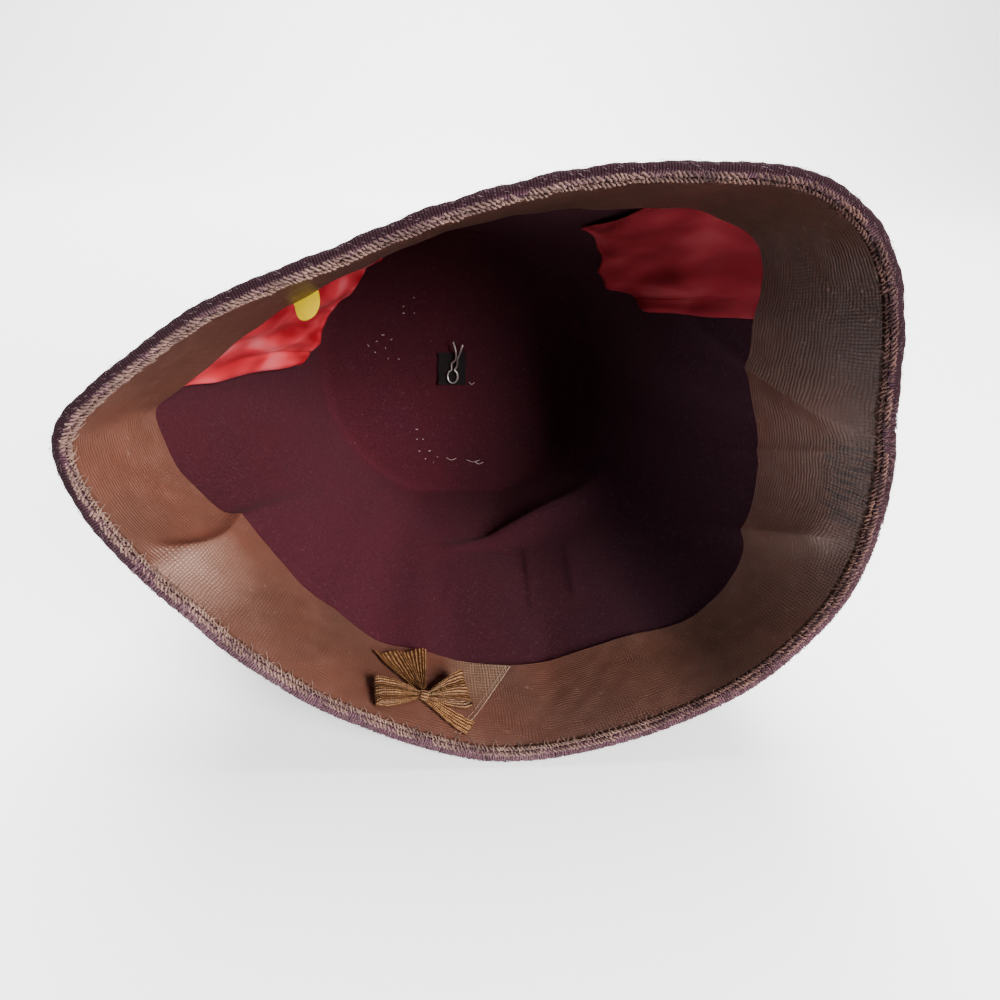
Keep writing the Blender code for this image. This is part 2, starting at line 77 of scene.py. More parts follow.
# Creases pressed into the hat from outside. Each runs between two places on the wall; it stands in
# by height, falls away over before and after along the rim, and is gone at both ends of its depths.
CREASES = (
    # share_a, depth_a, share_b, depth_b, bow, height, before, after, fade
    (0.8000, 3.0, 0.8172, 35.0, 0.0090, 3.6, 2.8, 13.0, 60.0),
    (0.2310, 2.0, 0.2000, 38.0, 0.0, 3.4, 4.0, 10.0, 60.0),
    (0.2850, 4.0, 0.3080, 37.0, 0.0, 2.5, 4.0, 9.0, 45.0),
    (0.2770, 3.0, 0.2560, 37.0, 0.0, 1.0, 9.0, 4.0, 45.0),
    (0.0420, 52.0, 0.0560, 92.0, 0.0, 1.1, 2.6, 7.0, 14.0),
    (0.0790, 60.0, 0.0900, 84.0, 0.0, 0.8, 2.4, 6.0, 14.0),
    (0.9780, 58.0, 0.9900, 88.0, 0.0, 0.6, 3.0, 6.0, 14.0),
    (0.9050, 4.0, 0.8990, 34.0, 0.0, 0.5, 3.0, 9.0, 40.0),
    (0.1450, 4.0, 0.1520, 34.0, 0.0, 0.6, 5.0, 9.0, 40.0),
)

# The fold across the wall, from under the crown's edge up to the right: share and depth of its ends.
FOLD_START, FOLD_END = (0.9900, 102.0), (0.1650, 119.0)
FOLD_HEIGHT, FOLD_BEFORE, FOLD_AFTER = 9.0, 5.4, 7.0
FOLD_GIRTH = 0.75  # the wall's girth at the fold, as a part of the rim's length


def stack(*values):
    return np.stack(np.broadcast_arrays(*values), axis=-1)


def periodic(column, clock):
    """A column of MOUTH at these clock angles, smooth between its rows."""
    angles = np.array([row[0] for row in MOUTH], float)
    values = np.array([row[column] for row in MOUTH], float)
    angles = np.concatenate([angles[-2:] - 360, angles, angles[:3] + 360])
    values = np.concatenate([values[-2:], values, values[:3]])
    slopes = np.gradient(values, angles)
    clock = np.mod(clock, 360)
    k = np.searchsorted(angles, clock, side="right") - 1
    step = angles[k + 1] - angles[k]
    t = (clock - angles[k]) / step
    rise = values[k] * (1 + 2 * t) * (1 - t) ** 2 + values[k + 1] * t * t * (3 - 2 * t)
    return rise + step * (slopes[k] * t * (1 - t) ** 2 - slopes[k + 1] * t * t * (1 - t))


def measure_rim():
    clock = np.arange(270.0, 631.0, 1.0)
    radius = periodic(1, clock)
    points = np.column_stack([radius * np.cos(np.radians(clock)), radius * np.sin(np.radians(clock))])
    length = np.concatenate([[0], np.cumsum(np.hypot(*np.diff(points, axis=0).T))])
    return clock, length / length[-1], length[-1]


RIM_CLOCK, RIM_SHARE, RIM_LENGTH = measure_rim()


def clock_at(share):
    return np.interp(share - np.floor(share), RIM_SHARE, RIM_CLOCK)


def rim_point(share):
    clock = clock_at(share)
    radius = periodic(1, clock)
    angle = np.radians(clock)
    return stack(radius * np.cos(angle), radius * np.sin(angle), 0.0)


def crown_point(share):
    angle = 2 * np.pi * share - np.pi / 2
    x = CROWN_MIDDLE[0] + CROWN_RADIUS * np.cos(angle)
    u = CROWN_MIDDLE[1] + CROWN_RADIUS * np.sin(angle)
    return stack(x, u, HEIGHT)


def inward_at(share):
    ahead = rim_point(share + 0.004) - rim_point(share - 0.004)
    ahead /= np.linalg.norm(ahead, axis=-1, keepdims=True)
    return stack(-ahead[..., 1], ahead[..., 0], 0.0)


def slant_at(share):
    return np.linalg.norm(crown_point(share) - rim_point(share), axis=-1)


def smooth(t):
    t = np.clip(t, 0, 1)
    return t * t * (3 - 2 * t)


def hump(gap, width):
    return np.exp(-((gap / width) ** 2))


def crease_push(share, depth):
    """How far the creases push the wall in."""
    push = 0 * share
    for share_a, depth_a, share_b, depth_b, bow, height, before, after, fade in CREASES:
        part = (depth - depth_a) / (depth_b - depth_a)
        bowed = np.clip(part, 0, 1)
        middle = share_a + (share_b - share_a) * part + bow * 4 * bowed * (1 - bowed)
        gap = ((share - middle + 0.5) % 1 - 0.5) * RIM_LENGTH
        shape = np.where(gap < 0, np.exp(-((-gap / before) ** 1.5)), np.exp(-gap / after))
        ends = smooth((depth - depth_a + 2) / 12) * smooth((depth_b + fade - depth) / fade)
        push = push + height * shape * ends
    return push


def fold_push(share, depth):
    """How far the fold across the wall pushes it in."""
    girth = RIM_LENGTH * FOLD_GIRTH
    run = np.array([(FOLD_END[0] - FOLD_START[0]) % 1 * girth, FOLD_END[1] - FOLD_START[1]])
    away = (share - FOLD_START[0] + 0.5) % 1 - 0.5
    place = stack(away * girth, depth - FOLD_START[1])
    along = np.clip(place @ run / (run @ run), 0, 1)
    gap = np.linalg.norm(place - along[..., None] * run, axis=-1)
    side = np.sign(place[..., 0] * run[1] - place[..., 1] * run[0])
    width = np.where(side > 0, FOLD_BEFORE, FOLD_AFTER)
    return FOLD_HEIGHT * np.exp(-((gap / width) ** 1.6)) * np.sin(np.pi * (0.12 + 0.76 * along))


def wall_surface(share, depth):
    rim = rim_point(share)
    run = crown_point(share) - rim
    slant = np.linalg.norm(run, axis=-1)
    part = np.clip(depth / slant, 0, 1)
    before = np.sin(np.pi / 2 * np.clip(depth / DENT_DEPTH, 0, 1))
    after = np.cos(np.pi / 2 * np.clip((depth - DENT_DEPTH) / (slant - DENT_DEPTH), 0, 1))
    dent = periodic(2, clock_at(share)) * before * after
    push = crease_push(share, depth) + fold_push(share, depth)
    dent = dent + push * np.clip((1 - part) * 12, 0, 1)
    return rim + run * part[..., None] + inward_at(share) * dent[..., None]


def settle(height):
    return np.where(height > EASE, height, np.clip(height + EASE, 0, 2 * EASE) ** 2 / (4 * EASE))


def to_world(points, floor=0.0):
    x, u, depth = points[..., 0], points[..., 1], points[..., 2]
    y = MOUTH_MIDDLE[1] + u * math.sin(LEAN) + depth * math.cos(LEAN)
    z = MOUTH_MIDDLE[2] + u * math.cos(LEAN) - depth * math.sin(LEAN)
    return stack(MOUTH_MIDDLE[0] + x, y, floor + settle(z - floor)) * MM


def same_shape(*values):
    return np.broadcast_arrays(*(np.asarray(value, float) for value in values))


def wall(share, depth, inside=0.0):
    """A place on the wall, this far inside its outer face, in mm; returned in metres."""
    share, depth, inside = same_shape(share, depth, inside)
    here = wall_surface(share, depth) + inward_at(share) * inside[..., None]
    return to_world(here, np.maximum(inside, 0))


def band_lift(share, depth):
    lift = periodic(3, clock_at(share))
    return np.maximum(lift, 0) * np.clip(np.asarray(depth) / BAND_WIDTH, 0, 1.2) ** 1.3


def waves(x, y, size, seed, count=7):
    """Smooth random relief about 1 high, from sines about this size in mm."""
    source = np.random.default_rng(seed)
    total = 0 * x
    for _ in range(count):
        turn, phase = source.uniform(0, 2 * np.pi, 2)
        length = size * source.uniform(0.7, 1.6)
        total = total + np.sin(2 * np.pi * (x * math.cos(turn) + y * math.sin(turn)) / length + phase)
    return total / math.sqrt(count)


# Meshes.


def add_object(name, data):
    obj = bpy.data.objects.new(name, data)
    bpy.context.scene.collection.objects.link(obj)
    return obj


def mesh_object(name, points, faces, uvs, material, smooth_angle=60, closed=True):
    """points in metres, faces as an array or a list, uvs in mm for each face corner in turn."""
    mesh = bpy.data.meshes.new(name)
    faces = faces.tolist() if hasattr(faces, "tolist") else faces
    mesh.from_pydata(np.reshape(points, (-1, 3)).tolist(), [], faces)
    layer = mesh.uv_layers.new(name="UVMap")
    layer.data.foreach_set("uv", np.asarray(uvs, np.float32).reshape(-1))
    mesh.update()
    obj = add_object(name, mesh)
    mesh.materials.append(material)
    mesh.shade_smooth()
    if smooth_angle:
        mesh.set_sharp_from_angle(angle=math.radians(smooth_angle))
    if closed:
        outwards(mesh)
    return obj


def outwards(mesh):
    """Turns a closed mesh's faces outwards."""
    made = bmesh.new()
    made.from_mesh(mesh)
    bmesh.ops.recalc_face_normals(made, faces=made.faces)
    made.to_mesh(mesh)
    made.free()


def pairs(u, v):
    return stack(u.ravel(), v.ravel())


def grid(rows, columns, closed_rows=False, closed_columns=False):
    """Corner indices of a grid's quads, and the row and column of each corner without wrapping."""
    down = np.arange(rows if closed_rows else rows - 1)
    across = np.arange(columns if closed_columns else columns - 1)
    i, j = (index.ravel() for index in np.meshgrid(down, across, indexing="ij"))
    row, column = stack(i, i, i + 1, i + 1), stack(j, j + 1, j + 1, j)
    return (row % rows) * columns + column % columns, row, column


def slab(name, front, back, u, v, material, smooth_angle=60):
    """A closed sheet from its front and back grids of points, with the same UVs on both."""
    rows, columns = front.shape[:2]
    faces = grid(rows, columns)[0]
    count = rows * columns
    index = np.arange(count).reshape(rows, columns)
    edge = np.concatenate([index[0], index[1:, -1], index[-1, -2::-1], index[-2:0:-1, 0]])
    following = np.roll(edge, -1)
    sides = stack(edge, edge + count, following + count, following)
    every = np.concatenate([faces, faces[:, ::-1] + count, sides])
    points = np.concatenate([front.reshape(-1, 3), back.reshape(-1, 3)])
    uvs = np.concatenate([pairs(u, v)] * 2)[every.ravel()]
    return mesh_object(name, points, every, uvs, material, smooth_angle)


class Strands:
    """Many thin round threads gathered into one mesh."""

    def __init__(self):
        self.points, self.faces, self.uvs, self.count = [], [], [], 0

    def add(self, route, radius, sides=5):
        """One thread along these points in metres; radius in mm, one number or one per point."""
        route = np.asarray(route, float)
        n = len(route)
        radius = np.broadcast_to(radius, n) * MM
        ahead = np.gradient(route, axis=0)
        ahead /= np.linalg.norm(ahead, axis=1, keepdims=True) + 1e-12
        side = np.cross(ahead, (0.31, 0.17, 0.93))
        side /= np.linalg.norm(side, axis=1, keepdims=True) + 1e-12
        up = np.cross(side, ahead)
        turn = np.arange(sides) * 2 * np.pi / sides
        ring = side[:, None] * np.cos(turn)[:, None] + up[:, None] * np.sin(turn)[:, None]
        points = (route[:, None] + ring * radius[:, None, None]).reshape(-1, 3)
        faces, row, column = grid(n, sides, closed_columns=True)
        length = np.concatenate([[0], np.cumsum(np.linalg.norm(np.diff(route, axis=0), axis=1))]) / MM
        start = rng.uniform(0, 500)
        cap = self.count + np.arange(sides)
        self.points.append(points)
        self.faces += (faces + self.count).tolist() + [cap.tolist(), (cap + (n - 1) * sides)[::-1].tolist()]
        self.uvs += [pairs(length[row] + start, column / sides), np.tile((start, 0.5), (2 * sides, 1))]
        self.count += n * sides

    def finish(self, name, material, slot, *nodes):
        points, uvs = np.concatenate(self.points), np.concatenate(self.uvs)
        finish_piece(mesh_object(name, points, self.faces, uvs, material, 0), slot, *nodes)


# Materials.


def new_material(name):
    """A new material and its shader."""
    material = bpy.data.materials.new(name)
    material.use_nodes = True
    return material, material.node_tree.nodes["Principled BSDF"]


def plug(value, socket):
    """Links a node's output to this input, or sets the input to a value; a colour has three numbers."""
    if isinstance(value, bpy.types.NodeSocket):
        value.id_data.links.new(value, socket)
    else:
        socket.default_value = (*value, 1) if socket.type == "RGBA" else value


def node(kind, values, **settings):
    """A new node, in the tree that the outputs among its values belong to."""
    tree = next(value.id_data for value in values.values() if isinstance(value, bpy.types.NodeSocket))
    made = tree.nodes.new(kind)
    for key, value in settings.items():
        setattr(made, key, value)
    for key, value in values.items():
        plug(value, made.inputs[key])
    return made


def mix(factor, a, b, mode="MIX"):
    """Mixes two colours."""
    return node("ShaderNodeMix", {0: factor, 6: a, 7: b}, data_type="RGBA", blend_type=mode).outputs[2]


def tinted(factor, colour, tint):
    """The colour, multiplied by the tint as far as the factor says."""
    return mix(factor, colour, mix(1.0, colour, tint, "MULTIPLY"))


def maths(operation, a, b):
    return node("ShaderNodeMath", {0: a, 1: b}, operation=operation).outputs[0]


def product(first, *others):
    for other in others:
        first = maths("MULTIPLY", first, other)
    return first


def scaled(value, by, start):
    """start + value * by."""
    return maths("ADD", start, product(value, by))


def vector_maths(operation, a, b):
    return node("ShaderNodeVectorMath", {0: a, 1: b}, operation=operation).outputs


def noise(vector, scale, detail=3.0, rough=0.6, distortion=0.0, output="Fac"):
    return node("ShaderNodeTexNoise", {
        "Vector": vector, "Scale": scale, "Detail": detail, "Roughness": rough, "Distortion": distortion,
    }).outputs[output]


def bands(vector, period, direction, wobble=1.0, phase=0.0):
    """Soft stripes this many mm apart."""
    return node("ShaderNodeTexWave", {
        "Vector": vector, "Scale": math.pi / 10 / period, "Distortion": wobble, "Detail": 1.5,
        "Detail Scale": 1.5, "Phase Offset": phase,
    }, wave_type="BANDS", bands_direction=direction).outputs["Fac"]


def ramp(value, low, high):
    """0 below low, 1 above high."""
    return node("ShaderNodeMapRange", {"Value": value, "From Min": low, "From Max": high}).outputs["Result"]


def part_of(vector, axis, low, high):
    """Grows from 0 to 1 along one axis of a vector."""
    return ramp(node("ShaderNodeSeparateXYZ", {"Vector": vector}).outputs[axis], low, high)


def stretched(vector, x, y):
    return node("ShaderNodeMapping", {"Vector": vector, "Scale": (x, y, 1.0)}).outputs["Vector"]


def spots(shader):
    """Places in the object's space, in metres."""
    return shader.id_data.nodes.new("ShaderNodeTexCoord").outputs["Object"]


def cloth_place(shader):
    """Places on the piece's own UVs, in mm."""
    made = shader.id_data.nodes.new("ShaderNodeUVMap")
    made.uv_map = "UVMap"
    return made.outputs["UV"]


def bump(shader, height, strength, distance, normal=None):
    values = {"Height": height, "Strength": strength, "Distance": distance * MM}
    if normal is not None:
        values["Normal"] = normal
    normal = node("ShaderNodeBump", values).outputs["Normal"]
    plug(normal, shader.inputs["Normal"])
    return normal


def surface(shader, colour, values):
    """Sets the shader's colour and other inputs."""
    plug(colour, shader.inputs["Base Color"])
    for name, value in values.items():
        plug(value, shader.inputs[name])


FELT_TURN = 86.0  # the felt's v where its outside turns into its inside, at the pin's hole


def felt_material():
    """Burgundy felt, with painted shade that makes it darker outside and towards the right, and painted light
    that makes it lighter low on the left.
    """
    material, shader = new_material("felt")
    place = spots(shader)
    # Masks for painted shade on the felt's outside and painted light low on the left.
    outer = part_of(cloth_place(shader), "Y", FELT_TURN + 2, FELT_TURN - 2)
    painted_light_low_left = product(part_of(place, "Z", 0.060, 0.030), part_of(place, "X", 0.0, -0.035))
    fibre = noise(place, 1500.0, 4.0, 0.7, 1.5)
    speck = noise(place, 700.0, 2.0, 0.6)
    cloud = product(ramp(noise(place, 45.0), 0.35, 0.75), 0.45)
    colour = mix(ramp(fibre, 0.30, 0.72), (0.024, 0.0056, 0.0094), (0.078, 0.0150, 0.0245))
    colour = mix(ramp(speck, 0.60, 0.85), colour, (0.105, 0.032, 0.043))
    colour = mix(cloud, colour, (0.062, 0.0092, 0.0140))
    # Painted shade towards the right, painted light low on the left, and painted shade on the outside.
    colour = tinted(part_of(place, "X", -0.02, 0.060), colour, (0.58, 0.92, 0.92))
    colour = tinted(painted_light_low_left, colour, (1.25, 1.18, 1.24))
    colour = tinted(outer, colour, (0.58, 0.55, 0.58))
    surface(shader, colour, {
        "Roughness": 0.95, "Specular IOR Level": 0.10, "Sheen Weight": 0.05, "Sheen Roughness": 0.5,
        "Sheen Tint": (0.75, 0.50, 0.60),
    })
    bump(shader, fibre, 0.55, 0.35)
    return material


# Marks on the sweatband, in mm along the rim and from the edge, each over the few mm where it grows.
HATCH_ALONG, HATCH_ACROSS = (582.0, 594.0), (11.0, 25.0)
# A painted highlight: a pale patch on the facet below the crease.
HIGHLIGHT_START, HIGHLIGHT_STOP, HIGHLIGHT_ACROSS, HIGHLIGHT_SLANT = (480.5, 484.5), (506.0, 486.0), (27.0, 9.0), 0.29
FRAY_START, FRAY_STOP, FRAY_ACROSS = (140.0, 144.0), (170.0, 164.0), (15.0, 10.0)


def leather_grain(uv, place, hatched):
    """The height of the grain: crossed lines where worn and hatched, and single lines elsewhere."""
    sway = noise(uv, 0.12, 3.0, 0.5, output="Color")
    moved = vector_maths("MULTIPLY", sway, (2.4, 2.4, 0.0))["Vector"]
    bent = vector_maths("ADD", uv, moved)["Vector"]
    across = bands(bent, 0.98, "X", 1.3)
    along = bands(bent, 0.92, "Y", 1.5)
    fine = noise(place, 1300.0, 3.0, 0.65)
    worn = maths("MAXIMUM", ramp(noise(place, 26.0, 2.0, 0.5), 0.42, 0.60), hatched)
    single = maths("ADD", product(along, 0.42), product(fine, 0.58))
    crossed = product(across, scaled(along, 0.8, 0.2))
    return node("ShaderNodeMix", {0: worn, 2: single, 3: crossed}).outputs[0]


def leather_colour(uv, place, cell, hatched):
    """Brown in patches, dark in the grain, with pale hatching, a painted highlight on a facet, frayed
    streaks, and painted shade on the right, at the top and at the bottom.
    """
    patchy = ramp(noise(place, 16.0, 3.0, 0.55), 0.35, 0.65)
    tone = mix(patchy, (0.176, 0.060, 0.038), (0.142, 0.060, 0.041))
    lighter = product(ramp(noise(place, 160.0), 0.45, 0.75), 0.35)
    tone = mix(lighter, tone, (0.260, 0.118, 0.085))
    pressed = scaled(ramp(noise(place, 34.0, 2.0, 0.5), 0.38, 0.62), 0.34, 0.30)
    tone = mix(product(maths("SUBTRACT", 1.0, cell), pressed), tone, (0.072, 0.030, 0.021))
    lines = [ramp(bands(uv, gap, axis, 0.5), 0.62, 0.92) for gap, axis in ((1.25, "X"), (1.20, "Y"))]
    lifted = product(hatched, scaled(maths("MAXIMUM", *lines), 0.55, 0.12))
    tone = mix(lifted, tone, (0.40, 0.25, 0.16))
    # Painted shade: greyer and darker up on the right, darker at the top, and a little darker at the bottom.
    right = product(part_of(place, "X", 0.03, 0.085), part_of(place, "Z", 0.030, 0.062))
    tone = tinted(right, tone, (0.68, 0.71, 0.76))
    tone = tinted(part_of(place, "Z", 0.085, 0.130), tone, (0.45, 0.46, 0.46))
    tone = tinted(part_of(place, "Z", 0.045, 0.012), tone, (0.80, 0.84, 0.86))
    # A painted highlight on the facet below the crease.
    leaning = vector_maths("DOT_PRODUCT", uv, (1.0, -HIGHLIGHT_SLANT, 0.0))["Value"]
    painted_facet_highlight = product(
        ramp(leaning, *HIGHLIGHT_START), ramp(leaning, *HIGHLIGHT_STOP),
        part_of(uv, "Y", *HIGHLIGHT_ACROSS), scaled(cell, 0.45, 0.20),
    )
    tone = mix(painted_facet_highlight, tone, (0.56, 0.36, 0.29))
    streaks = noise(stretched(uv, 1.1, 0.11), 1.0, 2.0, 0.6)
    frayed = product(
        ramp(streaks, 0.47, 0.55), part_of(uv, "Y", *FRAY_ACROSS),
        part_of(uv, "X", *FRAY_START), part_of(uv, "X", *FRAY_STOP), 0.75,
    )
    tone = mix(frayed, tone, (0.020, 0.011, 0.010))
    scuff = product(ramp(noise(place, 420.0, 2.0, 0.7), 0.66, 0.78), 0.30)
    return mix(scuff, tone, (0.38, 0.24, 0.19))


def leather_material():
    """Brown leather with a pressed grain and a soft sheen."""
    material, shader = new_material("leather")
    place, uv = spots(shader), cloth_place(shader)
    hatched = product(part_of(uv, "X", *HATCH_ALONG), part_of(uv, "Y", *HATCH_ACROSS))
    cell = leather_grain(uv, place, hatched)
    dull = ramp(noise(place, 60.0), 0.3, 0.7)
    surface(shader, leather_colour(uv, place, cell, hatched), {
        "Roughness": scaled(dull, 0.14, 0.38), "Specular IOR Level": 0.42, "Coat Weight": 0.08,
        "Coat Roughness": 0.35,
    })
    low = bump(shader, noise(place, 90.0), 0.25, 1.2)
    bump(shader, cell, 0.80, 0.27, low)
    return material


def satin_material(name, deep, painted_sheen, glint):
    """Shiny satin with painted sheen: brighter in soft streaks down the cloth, with painted glints in the
    brightest.
    """
    material, shader = new_material(name)
    uv = cloth_place(shader)
    # Painted sheen and glints in soft streaks down the cloth.
    painted_gleam = noise(stretched(uv, 0.085, 0.038), 1.0, 1.0, 0.4, 0.3)
    colour = mix(ramp(painted_gleam, 0.36, 0.62), deep, painted_sheen)
    colour = mix(product(ramp(painted_gleam, 0.57, 0.74), 0.75), colour, glint)
    surface(shader, colour, {
        "Roughness": 0.27, "Specular IOR Level": 0.90, "Specular Tint": (1.0, 0.62, 0.62),
        "Sheen Weight": 0.06, "Sheen Roughness": 0.3, "Sheen Tint": (1.0, 0.45, 0.45),
    })
    bump(shader, bands(uv, 0.28, "X", 1.0), 0.10, 0.05)
    return material


def thread_material(name, light, dark):
    """Twisted thread, its colour changing along it, with painted shade in its twist grooves and painted shade
    at the right and where the edge stands high.
    """
    material, shader = new_material(name)
    place = spots(shader)
    ply = node("ShaderNodeTexWave", {
        "Vector": stretched(cloth_place(shader), 1.0, 1.6), "Scale": 0.45, "Distortion": 0.6, "Detail": 1.0,
    }, wave_type="BANDS", bands_direction="DIAGONAL").outputs["Fac"]
    colour = mix(ramp(noise(place, 130.0), 0.36, 0.64), dark, light)
    # Painted shade in the grooves of the twist.
    groove = product(maths("SUBTRACT", 1.0, ply), 0.5)
    colour = mix(groove, colour, tuple(0.4 * c for c in dark))
    # Painted shade: darker at the right and at the top.
    colour = tinted(part_of(place, "X", 0.01, 0.07), colour, (0.60, 0.50, 0.51))
    colour = tinted(part_of(place, "Z", 0.085, 0.125), colour, (0.82, 0.80, 0.82))
    surface(shader, colour, {"Roughness": 0.8, "Specular IOR Level": 0.25})
    bump(shader, ply, 0.5, 0.1)
    return material


def wound_material():
    """Thread wound close round the edge: mauve, with painted shade between its turns, and painted shade that
    turns its outside dark wine where the edge stands high.
    """
    material, shader = new_material("wound_edge")
    place, uv = spots(shader), cloth_place(shader)
    rib = bands(uv, 0.70, "X", 2.6)
    change = ramp(noise(place, 40.0), 0.35, 0.65)
    high = mix(change, (0.115, 0.046, 0.074), (0.165, 0.088, 0.108))
    # Painted shade between the turns of thread.
    colour = mix(ramp(rib, 0.05, 0.85), (0.030, 0.0095, 0.016), high)
    fuzz = product(ramp(noise(place, 900.0, 3.0, 0.7), 0.48, 0.75), 0.45)
    colour = mix(fuzz, colour, (0.21, 0.125, 0.125))
    # Painted shade: the outside turns dark wine where the edge stands high.
    dark = product(part_of(uv, "Y", 1.0, 2.2), part_of(place, "Z", 0.035, 0.085), 0.93)
    colour = mix(dark, colour, (0.020, 0.0070, 0.0105))
    surface(shader, colour, {"Roughness": 0.95, "Specular IOR Level": 0.12})
    bump(shader, rib, 0.7, 0.35)
    return material


def ribbon_material(name, light):
    """Ribbed ribbon with painted shade between its ribs and picks and a painted highlight on the rib tops:
    its ribs are one unit of v apart, as the pieces are shaped.
    """
    material, shader = new_material(name)
    place, uv = spots(shader), cloth_place(shader)
    rib = bands(uv, 1.0, "Y", 0.25, math.pi)
    pick = bands(uv, 0.62, "X", 1.4)
    change = ramp(noise(place, 220.0), 0.35, 0.65)
    tones = [tuple(light * c for c in tone) for tone in ((0.27, 0.100, 0.030), (0.39, 0.185, 0.066))]
    # Painted shade in the hollows between the ribs, a painted highlight along their tops, and painted shade
    # between the picks.
    colour = mix(ramp(rib, 0.15, 0.75), (0.060, 0.019, 0.007), mix(change, *tones))
    colour = mix(product(ramp(rib, 0.72, 1.0), 0.55), colour, (0.70, 0.45, 0.21))
    colour = mix(product(ramp(pick, 0.65, 0.15), 0.72), colour, (0.075, 0.025, 0.009))
    worn = product(ramp(noise(place, 900.0, 3.0, 0.7), 0.46, 0.60), 0.72 / light)
    colour = mix(worn, colour, (0.060, 0.019, 0.008))
    surface(shader, colour, {"Roughness": 0.45, "Specular IOR Level": 0.35})
    low = bump(shader, rib, 0.9, 0.35)
    bump(shader, pick, 0.5, 0.12, low)
    return material


def plain_material(name, colour, roughness, metallic=0.0, change=0.15, size=300.0, lumps=0.2, shine=0.5):
    """One colour with slight changes and lumps."""
    material, shader = new_material(name)
    fine = noise(spots(shader), size)
    darker = tuple(c * (1 - change * 2) for c in colour)
    surface(shader, mix(ramp(fine, 0.3, 0.7), darker, colour), {
        "Roughness": roughness, "Metallic": metallic, "Specular IOR Level": shine,
    })
    bump(shader, fine, lumps, 0.2)
    return material


# Pieces.


def finish_piece(obj, slot, *nodes):
    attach(obj, "root")
    if nodes:
        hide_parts(*nodes)


def felt_rows(inside, depths, share):
    """Rows of points down the felt, from the rim to the pin's hole."""
    straight = slant_at(share) - CROWN_CORNER
    rows = [wall(share, straight * part, inside) for part in depths]
    to_rim = rim_point(share) - crown_point(share)
    to_rim /= np.linalg.norm(to_rim, axis=-1, keepdims=True)
    to_middle = (np.array([*CROWN_MIDDLE, HEIGHT]) - crown_point(share)) / CROWN_RADIUS
    start = wall_surface(share, straight) + inward_at(share) * inside
    end = crown_point(share) + to_middle * CROWN_CORNER
    end[..., 2] -= inside
    bend = crown_point(share) + inward_at(share) * inside + to_rim * inside
    for t in (0.2, 0.4, 0.6, 0.8, 1.0):
        rows.append(to_world(start * (1 - t) ** 2 + 2 * t * (1 - t) * bend + end * t * t, inside))
    for radius in (52.0, 44.0, 36.0, 28.0, 20.0, 12.0, 5.0, PIN_HOLE):
        place = crown_point(share) + to_middle * (CROWN_RADIUS - radius)
        x, u = radius * np.cos(2 * np.pi * share), radius * np.sin(2 * np.pi * share)
        sag = 0.5 * waves(x, u, 45.0, 4) * smooth((56 - radius) / 20)
        place[..., 2] -= inside + sag * smooth(radius / 15)
        rows.append(to_world(place))
    return rows


def make_felt(material):
    """The felt body. Its v runs 2 a row, over the outside first."""
    columns = 480
    share = np.arange(columns) / columns
    outer = felt_rows(0.0, np.linspace(0, 1, 30), share)
    inner = felt_rows(FELT, np.linspace(0, 1, 84), share)
    points = outer + inner[::-1]
    faces, row, column = grid(len(points), columns, closed_rows=True, closed_columns=True)
    uvs = pairs(column / columns * RIM_LENGTH, row * 2.0)
    finish_piece(mesh_object("felt_body", points, faces, uvs, material, 75), "crown_shell", "crown_shell")


FIBRES, WRAPS = 2600, 560


def make_fuzz(material):
    """Loose fibres standing on the felt inside the hat."""
    strands = Strands()
    share = np.where(rng.random(FIBRES) < 0.75, rng.uniform(0.74, 1.08, FIBRES), rng.random(FIBRES))
    depth = rng.uniform(BAND_WIDTH + 2, 140, FIBRES)
    t = np.array((0, 0.35, 0.7, 1.0))
    for s, d in zip(share, depth):
        turn, reach = rng.uniform(0, 2 * np.pi), rng.uniform(0.6, 1.9)
        x, y = t * reach * math.cos(turn), t * reach * math.sin(turn)
        route = wall(s + x / RIM_LENGTH, d + y, FELT + 0.02 + 0.28 * np.sin(np.pi * t))
        strands.add(route, (0.02, 0.035, 0.03, 0.012), 3)
    strands.finish("felt_fuzz", material, "crown_shell")


def edge_spot(share, inside, ahead):
    """A place by the rim, this far inside the felt's outer face and in front of the felt, in mm."""
    share, inside, ahead = same_shape(share, inside, ahead)
    place = rim_point(share) + inward_at(share) * inside[..., None]
    place[..., 2] -= ahead
    return to_world(place, np.maximum(inside, 0))


# The wound edge's section in mm: its middle, inside the felt's outer face and in front of the felt, and
# half its width and depth. Its back reaches a little further and meets the felt.
EDGE_INSIDE, EDGE_AHEAD = 1.6, CLEAR + 1.3
EDGE_HALF_WIDTH, EDGE_HALF_DEPTH, EDGE_BACK = 1.65, 1.15, 1.80


def edge_point(share, angle, lift=0.0):
    """A place round the wound edge: angle 0 is its leather side, 90 its front and 180 its outside."""
    angle = np.radians(angle)
    inside = EDGE_INSIDE + (EDGE_HALF_WIDTH + lift) * np.cos(angle)
    reach = np.where(np.sin(angle) < 0, EDGE_BACK, EDGE_HALF_DEPTH + lift)
    return edge_spot(share, inside, EDGE_AHEAD + reach * np.sin(angle))


def make_wound_edge(material):
    columns, sides = 1680, 14
    share = np.arange(columns) / columns
    rows = []
    for side in range(sides):
        swell = 0.07 * np.sin(2 * np.pi * share * RIM_TURNS + side * 0.7)
        swell = swell + 0.12 * waves(share * RIM_LENGTH, 2.0 * side + 0 * share, 9.0, 11)
        rows.append(edge_point(share, 360 * side / sides + 0 * share, swell))
    faces, row, column = grid(sides, columns, closed_rows=True, closed_columns=True)
    uvs = pairs(column / columns * RIM_LENGTH, row * 10 / sides)
    finish_piece(mesh_object("wound_edge", rows, faces, uvs, material, 0), "rim_binding", "rim_binding")


def leather_point(share, depth, rise):
    return wall(share, depth, BAND_FACE + rise + band_lift(share, depth))


